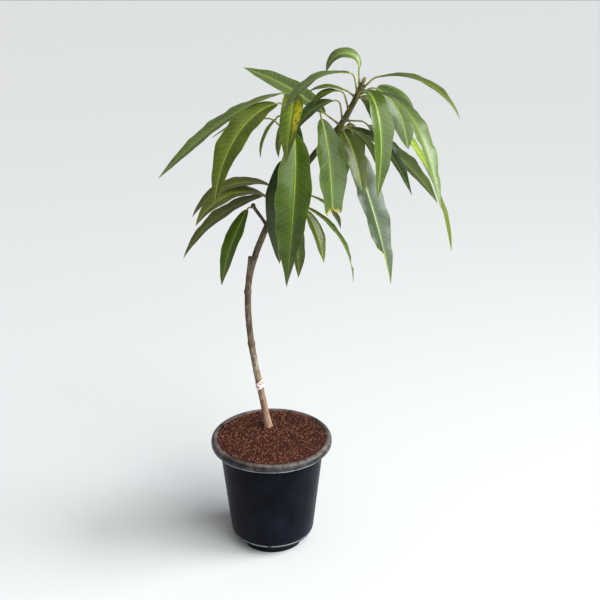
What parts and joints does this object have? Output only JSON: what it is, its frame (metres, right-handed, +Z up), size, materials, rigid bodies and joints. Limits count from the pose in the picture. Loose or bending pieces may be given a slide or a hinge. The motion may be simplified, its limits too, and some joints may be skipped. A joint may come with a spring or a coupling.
{
  "type": "mango tree sapling in a pot",
  "caption": "Young mango tree with a bent slender trunk, two short boughs and drooping whorls of long leaves, in a round black nursery pot filled with soil",
  "frame": {"origin": "centre of the pot's flat underside", "axes": "+Z up through the pot, +X towards the crown's overhanging side, -Y the side the plant is seen from"},
  "size_m": [0.435, 0.2193, 0.8107],
  "materials": {
    "pot_plastic": "black-blue nursery plastic, satin wall, rolled rim greyed by dust",
    "soil": "loose dark red-brown coco peat with fibres",
    "tie_tape": "pale pink film tape with plain red strokes",
    "bark": "grey-brown young bark with leaf scars, greener on the young shoots",
    "leaf_mature": "leathery dark green leaf with a bluish sheen, pale midrib and fine side veins",
    "leaf_young": "paler yellow-green leaf, softly glossy"
  },
  "bodies": {
    "root": {"pot": "pot_plastic", "soil": "soil", "grafting_tie": "tie_tape", "trunk": "bark", "leader_bough": "bark", "left_bough": "bark", "cut_stub": "bark", "dry_snag": "bark", "foliage_top": "leaf_young", "foliage_front": "leaf_mature", "foliage_back": "leaf_mature", "foliage_middle": "leaf_mature", "foliage_left": "leaf_mature", "foliage_shaded": "leaf_mature", "foliage_low_left": "leaf_mature", "foliage_low_right": "leaf_mature", "foliage_snag": "leaf_mature"}
  },
  "joints": []
}
